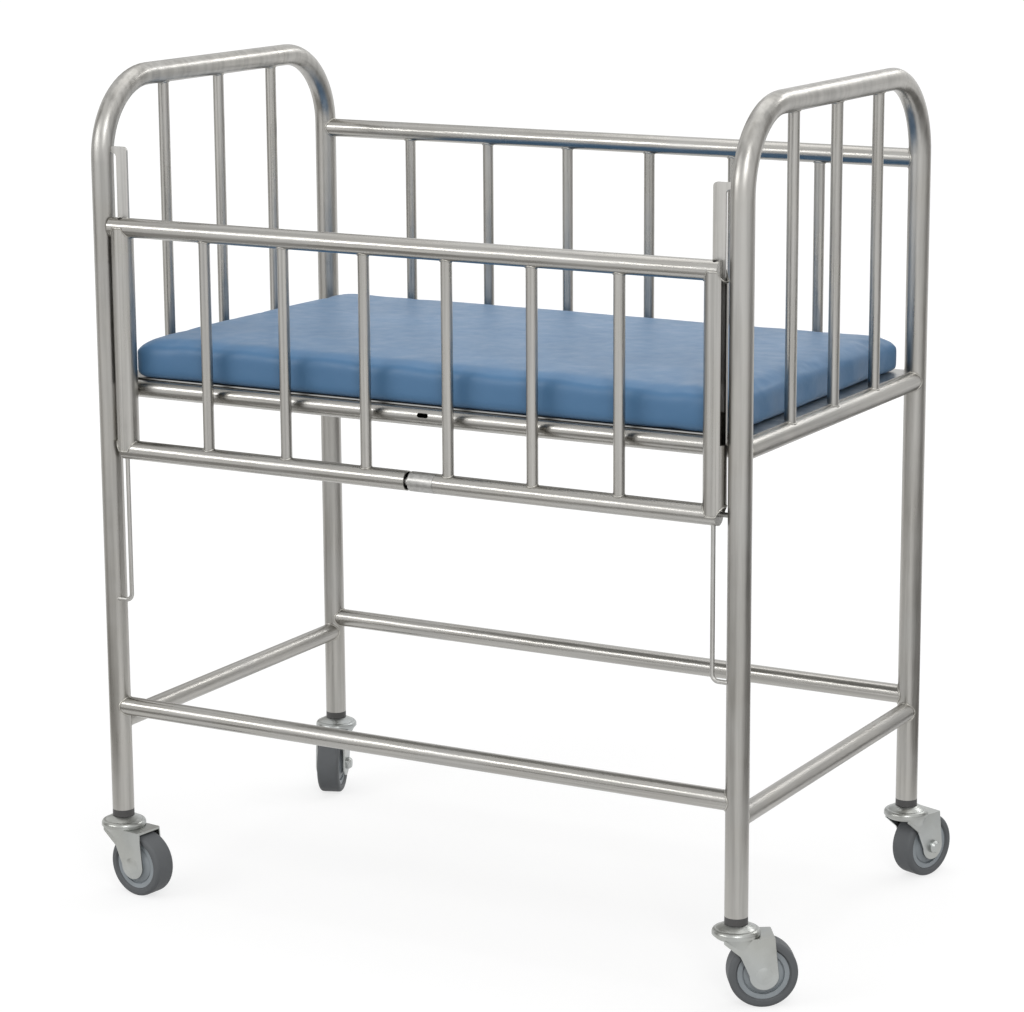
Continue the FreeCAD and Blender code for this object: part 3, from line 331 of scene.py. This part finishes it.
def dress_nodes():
    """Gives each CAD node its material, with the grain along the tube that it is."""
    tube = (0.44, 0.432, 0.412)
    along_x = steel("steel_along_x", tube, 0.25, (5, 420, 420))
    along_y = steel("steel_along_y", tube, 0.36, (300, 5, 300))
    upright = steel("steel_upright", tube, 0.29, (420, 420, 5))
    bent = steel("steel_bent", tube, 0.34, (150, 150, 5), waviness=0.0006)
    sheet = steel("steel_deck", (0.47, 0.47, 0.46), 0.34, (6, 300, 300))
    satin = steel("steel_satin", (0.46, 0.457, 0.445), 0.36, (300, 300, 300))
    # Painted light: the guide strips' steel is paler than the tubes', so they read bright where they lie in
    # shade inside the slotted drop-side tubes.
    guide = steel("steel_guide_painted_light", (0.50, 0.495, 0.48), 0.42, (300, 300, 8))
    zinc = steel("zinc", (0.44, 0.458, 0.455), 0.35, (60, 60, 60), waviness=0.0002, streak=0.3)
    collar = plastic("collar", (0.085, 0.083, 0.082), 0.5)
    hub = plastic("hub", (0.40, 0.44, 0.465), 0.42)
    tyre = plastic("tyre", (0.135, 0.143, 0.150), 0.6)
    rules = [
        ("castor_tyre", tyre),
        ("castor_hub", hub),
        ("castor_collars", collar),
        ("castor_", zinc),
        ("latch_", satin),
        ("side_rail_core", satin),
        ("side_latch_bush", satin),
        ("left_guide", guide),
        ("right_guide", guide),
        ("deck_", sheet),
        ("left_crossbar", along_y),
        ("right_crossbar", along_y),
        ("left_stretcher", along_y),
        ("right_stretcher", along_y),
        ("left_end_hoop", bent),
        ("right_end_hoop", bent),
        ("left_end", upright),
        ("right_end", upright),
        ("side_tube", upright),
        ("side_bars", upright),
        ("back_bars", upright),
        ("", along_x),
    ]
    for name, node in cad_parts.items():
        chosen = next(given for start, given in rules if name.startswith(start))
        for slot in node.material_slots:
            slot.material = chosen


# ---- welds


def weld_points(root, branch, main, branch_r, main_r, turns=40):
    """The closed line where a round branch, pointing away from the main tube's axis, leaves it."""
    branch, main = Vector(branch), Vector(main)
    across = branch.cross(main)
    points = []
    for i in range(turns):
        angle = 2 * math.pi * i / turns
        a, b = branch_r * math.cos(angle), branch_r * math.sin(angle)
        out = math.sqrt(max(main_r**2 - b * b, 0))
        point = Vector(root) + main * a + across * b + branch * out
        points.append((point, (main * a + across * b).normalized()))
    return points


def add_bead(mesh, points, away, radius, seed, ground):
    """A small uneven bead along a closed line, ground down where it faces +Y by the share ground."""
    sides = 6
    rings = []
    for i, (point, outward) in enumerate(points):
        size = radius * (1 + WELD_UNEVEN * noise.noise(point * 300 + Vector((seed, 0, 0))))
        size *= 1 - ground * min(max(outward.y, 0) * 1.6, 1)
        ring = []
        for j in range(sides):
            angle = 2 * math.pi * j / sides
            offset = outward * math.cos(angle) + away * math.sin(angle)
            ring.append(mesh.verts.new(point + offset * size))
        rings.append(ring)
    for i, ring in enumerate(rings):
        following = rings[(i + 1) % len(rings)]
        for j in range(sides):
            k = (j + 1) % sides
            face = mesh.faces.new((ring[j], ring[k], following[k], following[j]))
            face.smooth = True


def weld_mesh(name, welds, body, look, ground=0.0):
    made = bmesh.new()
    for seed, (root, branch, main, branch_r, main_r) in enumerate(welds):
        line = weld_points(root, branch, main, branch_r, main_r)
        add_bead(made, line, Vector(branch), WELD_R, seed, ground)
    bmesh.ops.recalc_face_normals(made, faces=made.faces)
    data = bpy.data.meshes.new(name)
    made.to_mesh(data)
    made.free()
    data.materials.append(look)
    piece = bpy.data.objects.new(name, data)
    bpy.context.collection.objects.link(piece)
    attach(piece, body)


def make_welds():
    look = steel("weld", (0.50, 0.49, 0.46), 0.38, (300, 300, 300), waviness=0.0003)
    X, Y, Z = (1, 0, 0), (0, 1, 0), (0, 0, 1)
    down = (0, 0, -1)
    fixed = []
    for sx in (-1, 1):
        for k in (-1, 0, 1):
            y = k * END_BAR_PITCH
            fixed.append(((sx * POST_X, y, DECK_Z), Z, Y, BAR_R, RAIL_R))
            fixed.append(((sx * POST_X, y, HOOP_Z), down, Y, BAR_R, POST_R))
        for sy in (-1, 1):
            for z in (DECK_Z, END_STRETCHER_Z):
                fixed.append(((sx * POST_X, sy * POST_Y, z), (0, -sy, 0), Z, RAIL_R, POST_R))
            heights = (STRETCHER_Z,) if sy < 0 else (STRETCHER_Z, DECK_Z, BACK_TOP_Z)
            for z in heights:
                fixed.append(((sx * POST_X, sy * POST_Y, z), (-sx, 0, 0), Z, RAIL_R, POST_R))
    for k in range(BAR_COUNT):
        x = (k - 2.5) * BACK_BAR_PITCH
        fixed.append(((x, POST_Y, DECK_Z), Z, X, BAR_R, RAIL_R))
        fixed.append(((x, POST_Y, BACK_TOP_Z), down, X, BAR_R, RAIL_R))
    weld_mesh("frame_welds", fixed, "frame", look)
    side = []
    for k in range(BAR_COUNT):
        x = (k - 2.5) * SIDE_BAR_PITCH
        side.append(((x, SIDE_Y, SIDE_BOTTOM_Z), Z, X, BAR_R, RAIL_R))
        side.append(((x, SIDE_Y, SIDE_TOP_Z), down, X, BAR_R, RAIL_R))
    for x in (-SIDE_TUBE_X, SIDE_TUBE_X):
        side.append(((x, SIDE_Y, SIDE_BOTTOM_Z), Z, X, SIDE_TUBE_R, RAIL_R))
        side.append(((x, SIDE_Y, SIDE_TOP_Z), down, X, SIDE_TUBE_R, RAIL_R))
    weld_mesh("drop_side_welds", side, "drop_side", look, ground=SIDE_WELD_GROUND)


# ---- mattress


def rise(edge):
    return abs(edge.verts[0].co.z - edge.verts[1].co.z)


def make_mattress():
    """A foam pad in a vinyl cover: swollen by a short cloth run, flat where it lies on the deck."""
    low, high = (Vector(corner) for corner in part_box("mattress"))
    lo, hi = low + PAD_LOW, high + PAD_HIGH
    mesh = bmesh.new()
    bmesh.ops.create_cube(mesh, size=1)
    for vert in mesh.verts:
        vert.co = Vector([lo[i] + (vert.co[i] + 0.5) * (hi[i] - lo[i]) for i in range(3)])
    upright = [edge for edge in mesh.edges if rise(edge) > 10 * MM]
    bmesh.ops.bevel(mesh, geom=upright, offset=PAD_CORNER, segments=6, profile=0.5, affect="EDGES")
    level = [edge for edge in mesh.edges if rise(edge) < 1e-6 and len(edge.link_faces) == 2]
    rims = [edge for edge in level if abs(edge.link_faces[0].normal.z - edge.link_faces[1].normal.z) > 0.5]
    bmesh.ops.bevel(mesh, geom=rims, offset=PAD_RIM, segments=4, profile=0.5, affect="EDGES")
    data = bpy.data.meshes.new("mattress_cover")
    mesh.to_mesh(data)
    mesh.free()
    pad = bpy.data.objects.new("mattress_cover", data)
    bpy.context.collection.objects.link(pad)
    bpy.context.view_layer.objects.active = pad
    pad.select_set(True)
    remesh = pad.modifiers.new("remesh", "REMESH")
    remesh.mode = "VOXEL"
    remesh.voxel_size = PAD_VOXEL
    bpy.ops.object.modifier_apply(modifier="remesh")
    swell(pad, low)
    slump(pad, lo, hi)
    for polygon in pad.data.polygons:
        polygon.use_smooth = True
    smooth = pad.modifiers.new("smooth", "SUBSURF")
    smooth.levels = smooth.render_levels = 1
    pad.data.materials.append(vinyl("vinyl"))
    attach(pad, "mattress")
    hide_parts("mattress")


def slump(pad, lo, hi):
    """Lowers the top a little toward the back and both ends, and wrinkles the front edge."""
    span = hi - lo
    for vert in pad.data.vertices:
        at = vert.co
        back = (at.y - lo.y) / span.y
        end = max((at.x - hi.x + 45 * MM) / (45 * MM), (lo.x + 45 * MM - at.x) / (45 * MM), 0)
        front = max(1 - back * 8, 0)
        drop = 6 * MM * back**2 + 5 * MM * end**2
        drop += 1.1 * MM * front * (1 + math.sin(at.x * 68 + 0.6 * math.sin(at.x * 23)))
        drop += 0.8 * MM * (1 + noise.noise(at * 9))
        at.z -= min(drop, 13 * MM) * min(max((at.z - lo.z) / span.z, 0), 1)


def swell(pad, low):
    """Runs the cloth, keeps each point's move small and the underside flat."""
    start = [vert.co.copy() for vert in pad.data.vertices]
    cloth = pad.modifiers.new("cloth", "CLOTH")
    cloth.settings.use_pressure = True
    cloth.settings.uniform_pressure_force = SWELL_PRESSURE
    cloth.settings.effector_weights.gravity = 0
    cloth.settings.quality = 5
    scene = bpy.context.scene
    for step in range(1, SWELL_STEPS + 1):
        scene.frame_set(step)
    shape = pad.evaluated_get(bpy.context.evaluated_depsgraph_get()).data
    moved = [vert.co.copy() for vert in shape.vertices]
    pad.modifiers.remove(cloth)
    for vert, first, last in zip(pad.data.vertices, start, moved):
        step = last - first
        if step.length > SWELL_LIMIT:
            step *= SWELL_LIMIT / step.length
        vert.co = first + step
        vert.co.z = max(vert.co.z, low.z)
    scene.frame_set(1)


make_camera()
make_world()
make_floor()
for lamp in LAMPS:
    make_lamp(*lamp)
for card in CARDS:
    make_card(*card)
dress_nodes()
make_welds()
make_mattress()
bpy.context.scene.view_settings.view_transform = "Standard"
